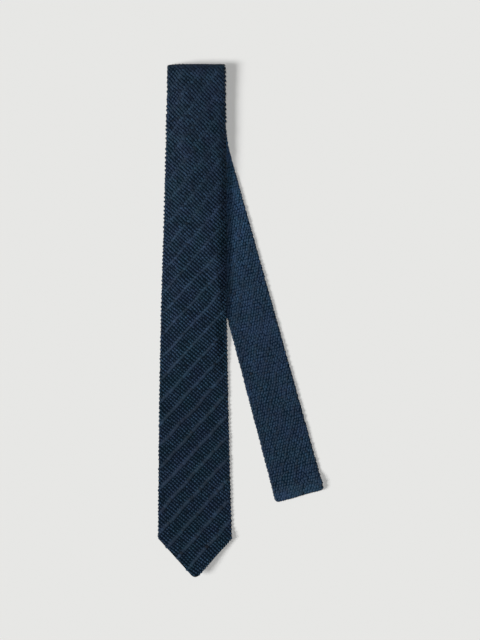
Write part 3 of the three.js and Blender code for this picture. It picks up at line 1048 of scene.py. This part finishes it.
class NECKTIE_OT_tail_blade(bpy.types.Operator):
    """Knit the narrow end, over the lower fold and down to its square end"""

    bl_idname = "necktie.tail_blade"
    bl_label = "Tail blade"

    def execute(self, context):
        colour = tuple(context.scene.necktie_knit.tail_colour)
        knit = tail_knit()
        ground = knitted(
            "tail_knit", "tail_blade", TAIL_ROUTE, TAIL_COLUMNS, colour, knit.sink
        )
        yarn = yarn_material("tail_yarn", colour, TAIL_GLOSS)
        fine, coarse = bead_shape(*FINE), bead_shape(*COARSE)
        mesh = stitch_mesh("tail_stitches", [
            (fine, lay_stitches(TAIL_STITCHES, -1, knit, (2,), seed=41)),
            (fine, lay_stitches(TAIL_STITCHES, 1, knit, (1,), seed=42)),
            (coarse, lay_stitches(TAIL_STITCHES, 1, knit, (0, 2), seed=43)),
            (coarse, lay_stitches(TAIL_STITCHES, -1, knit, (0,), seed=44)),
        ])
        stitches = show("tail_stitches", mesh, yarn)
        tube_length(TAIL_ROUTE)
        tube_area(TAIL_ROUTE)
        return {"FINISHED"}


class NECKTIE_OT_tail_hem(bpy.types.Operator):
    """Knit the hem that is turned under at the square end"""

    bl_idname = "necktie.tail_hem"
    bl_label = "Tail hem"

    def execute(self, context):
        colour = tuple(context.scene.necktie_knit.tail_colour)
        knit, coarse = tail_knit(), bead_shape(*COARSE)
        knitted("tail_hem_knit", "tail_hem", HEM_ROUTE, TAIL_COLUMNS, colour, knit.sink)
        mesh = stitch_mesh("tail_hem_stitches", [
            (coarse, lay_stitches(HEM_ROUTE, wall, knit, (0,), seed=51)) for wall in (1, -1)
        ])
        show("tail_hem_stitches", mesh, yarn_material("hem_yarn", colour, TAIL_GLOSS))
        return {"FINISHED"}


class StageSettings(bpy.types.PropertyGroup):
    camera_height: bpy.props.FloatProperty(
        name="Camera height", description="How far the camera is above the surface",
        default=2.5, unit="LENGTH",
    )
    view_height: bpy.props.FloatProperty(
        name="View height", description="How much of the surface the picture's long side takes in",
        default=0.6030, unit="LENGTH",
    )
    key_strength: bpy.props.FloatProperty(
        name="Key light", description="Strength of the soft light from the left", default=2.7,
    )
    key_softness: bpy.props.FloatProperty(
        name="Key softness", description="How wide the soft light looks from the tie",
        default=math.radians(22), subtype="ANGLE",
    )
    key_height: bpy.props.FloatProperty(
        name="Key height", description="How high the soft light stands",
        default=math.radians(36.8), subtype="ANGLE",
    )
    key_aside: bpy.props.FloatProperty(
        name="Key aside", description="How far it is turned from the left towards the point",
        default=math.radians(14), subtype="ANGLE",
    )
    ceiling_strength: bpy.props.FloatProperty(
        name="Ceiling light", description="Strength of the wide light from straight above", default=1.42,
    )
    ceiling_softness: bpy.props.FloatProperty(
        name="Ceiling softness", description="How wide the light from above looks from the tie",
        default=math.radians(14), subtype="ANGLE",
    )
    fill: bpy.props.FloatProperty(
        name="Fill light", description="Strength of the light from all round", default=0.03,
    )
    surface_colour: bpy.props.FloatVectorProperty(
        name="Surface colour", description="Colour of the surface that it lies on",
        default=(0.8, 0.8, 0.785), subtype="COLOR", min=0, max=1,
    )


SURFACE_HALF = 4
SENSOR = 36  # the camera's, in millimetres
CAMERA_OVER = (-0.0004, 0.0004)  # the place on the surface under the camera


def soft_sun(name, strength, softness, towards):
    light = bpy.data.lights.new(name, "SUN")
    light.angle = softness
    light.energy = strength
    lamp = bpy.data.objects.new(name, light)
    lamp.rotation_euler = towards.to_track_quat("Z", "Y").to_euler()
    bpy.context.scene.collection.objects.link(lamp)


class NECKTIE_OT_stage(bpy.types.Operator):
    """Set up the pale surface, the soft lights and the camera straight above"""

    bl_idname = "necktie.stage"
    bl_label = "Stage"

    def execute(self, context):
        stage = context.scene.necktie_stage
        bm = bmesh.new()
        bmesh.ops.create_grid(bm, x_segments=1, y_segments=1, size=SURFACE_HALF)
        mesh = bpy.data.meshes.new("surface")
        bm.to_mesh(mesh)
        bm.free()
        floor = bpy.data.objects.new("surface", mesh)
        mesh.materials.append(surface_material(tuple(stage.surface_colour)))
        context.scene.collection.objects.link(floor)

        towards = Vector((-math.cos(stage.key_aside), -math.sin(stage.key_aside), 0))
        towards = towards * math.cos(stage.key_height) + Vector((0, 0, math.sin(stage.key_height)))
        soft_sun("key", stage.key_strength, stage.key_softness, towards)
        soft_sun("ceiling", stage.ceiling_strength, stage.ceiling_softness, Vector((0, 0, 1)))

        world = bpy.data.worlds.new("soft_box")
        world.use_nodes = True
        world.node_tree.nodes["Background"].inputs["Color"].default_value = (1, 1, 1, 1)
        world.node_tree.nodes["Background"].inputs["Strength"].default_value = stage.fill
        context.scene.world = world

        lens = bpy.data.cameras.new("camera")
        lens.sensor_width = SENSOR
        lens.lens = SENSOR * stage.camera_height / stage.view_height
        camera = bpy.data.objects.new("camera", lens)
        camera.location = (*CAMERA_OVER, stage.camera_height)
        context.scene.collection.objects.link(camera)
        context.scene.camera = camera
        context.scene.view_settings.view_transform = "Standard"
        return {"FINISHED"}


class NECKTIE_PT_panel(bpy.types.Panel):
    """The necktie's pieces, stitches and stage"""

    bl_idname = "NECKTIE_PT_panel"
    bl_label = "Silk Knit Necktie"
    bl_space_type = "VIEW_3D"
    bl_region_type = "UI"
    bl_category = "Necktie"

    def draw(self, context):
        for settings in (context.scene.necktie_knit, context.scene.necktie_stage):
            column = self.layout.column()
            for name in settings.__annotations__:
                column.prop(settings, name)
        for operator in OPERATORS:
            self.layout.operator(operator.bl_idname)


OPERATORS = (
    NECKTIE_OT_stage,
    NECKTIE_OT_tail_hem,
    NECKTIE_OT_tail_blade,
    NECKTIE_OT_neck_band,
    NECKTIE_OT_point_flaps,
    NECKTIE_OT_front_blade,
)
CLASSES = (KnitSettings, StageSettings, *OPERATORS, NECKTIE_PT_panel)


def register():
    for made in CLASSES:
        bpy.utils.register_class(made)
    bpy.types.Scene.necktie_knit = bpy.props.PointerProperty(type=KnitSettings)
    bpy.types.Scene.necktie_stage = bpy.props.PointerProperty(type=StageSettings)


def unregister():
    del bpy.types.Scene.necktie_knit
    del bpy.types.Scene.necktie_stage
    for made in reversed(CLASSES):
        bpy.utils.unregister_class(made)


def main():
    register()
    bpy.ops.necktie.stage()
    bpy.ops.necktie.tail_hem()
    bpy.ops.necktie.tail_blade()
    bpy.ops.necktie.neck_band()
    bpy.ops.necktie.point_flaps()
    bpy.ops.necktie.front_blade()


if __name__ == "__main__":
    main()
